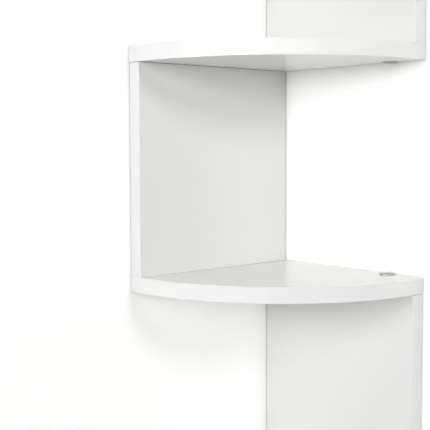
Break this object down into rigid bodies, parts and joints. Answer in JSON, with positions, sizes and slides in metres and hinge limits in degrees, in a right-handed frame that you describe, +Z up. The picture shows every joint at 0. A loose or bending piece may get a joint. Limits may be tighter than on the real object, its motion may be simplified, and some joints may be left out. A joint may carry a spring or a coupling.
{
  "type": "corner shelf unit",
  "caption": "Tall zig-zag corner shelf unit for a wall, with quarter-round shelves joined by side panels that stand by turns on one wall and the other.",
  "frame": {"origin": "on the line where the room's two walls meet, at the height of the unit's lower end", "axes": "+Z up along the corner line; +X along the right wall, whose face is the plane y = 0; -Y along the left wall, whose face is the plane x = 0"},
  "size_m": [0.197, 0.197, 1.232],
  "materials": {
    "laminate_board": "white melamine laminate on particle board, satin gloss",
    "edge_band": "white edge banding, satin gloss, with fine broken arrises",
    "plated_steel": "zinc or nickel plated steel, satin",
    "beech": "bare fluted beech dowel"
  },
  "bodies": {
    "root": {"bottom_panel": "laminate_board", "bottom_panel_front_band": "edge_band", "bottom_panel_end_band": "edge_band", "shelf_1": "laminate_board", "shelf_1_front_band": "edge_band", "bolt_shelf_1_down": "plated_steel", "barrel_nut_shelf_1_down": "plated_steel", "dowel_shelf_1_down": "beech", "bolt_shelf_1_up": "plated_steel", "barrel_nut_shelf_1_up": "plated_steel", "dowel_shelf_1_up": "beech", "side_panel_1": "laminate_board", "side_panel_1_front_band": "edge_band", "shelf_2": "laminate_board", "shelf_2_front_band": "edge_band", "bolt_shelf_2_down": "plated_steel", "barrel_nut_shelf_2_down": "plated_steel", "dowel_shelf_2_down": "beech", "bolt_shelf_2_up": "plated_steel", "barrel_nut_shelf_2_up": "plated_steel", "dowel_shelf_2_up": "beech", "side_panel_2": "laminate_board", "side_panel_2_front_band": "edge_band", "shelf_3": "laminate_board", "shelf_3_front_band": "edge_band", "bolt_shelf_3_down": "plated_steel", "barrel_nut_shelf_3_down": "plated_steel", "dowel_shelf_3_down": "beech", "bolt_shelf_3_up": "plated_steel", "barrel_nut_shelf_3_up": "plated_steel", "dowel_shelf_3_up": "beech", "side_panel_3": "laminate_board", "side_panel_3_front_band": "edge_band", "shelf_4": "laminate_board", "shelf_4_front_band": "edge_band", "bolt_shelf_4_down": "plated_steel", "barrel_nut_shelf_4_down": "plated_steel", "dowel_shelf_4_down": "beech", "bolt_shelf_4_up": "plated_steel", "barrel_nut_shelf_4_up": "plated_steel", "dowel_shelf_4_up": "beech", "side_panel_4": "laminate_board", "side_panel_4_front_band": "edge_band", "left_keyhole_hanger": "plated_steel", "left_hanger_screw_lower": "plated_steel", "left_hanger_screw_upper": "plated_steel", "shelf_5": "laminate_board", "shelf_5_front_band": "edge_band", "bolt_shelf_5_down": "plated_steel", "barrel_nut_shelf_5_down": "plated_steel", "dowel_shelf_5_down": "beech", "bolt_shelf_5_up": "plated_steel", "barrel_nut_shelf_5_up": "plated_steel", "dowel_shelf_5_up": "beech", "top_panel": "laminate_board", "top_panel_front_band": "edge_band", "top_panel_end_band": "edge_band", "right_keyhole_hanger": "plated_steel", "right_hanger_screw_lower": "plated_steel", "right_hanger_screw_upper": "plated_steel"}
  },
  "joints": []
}
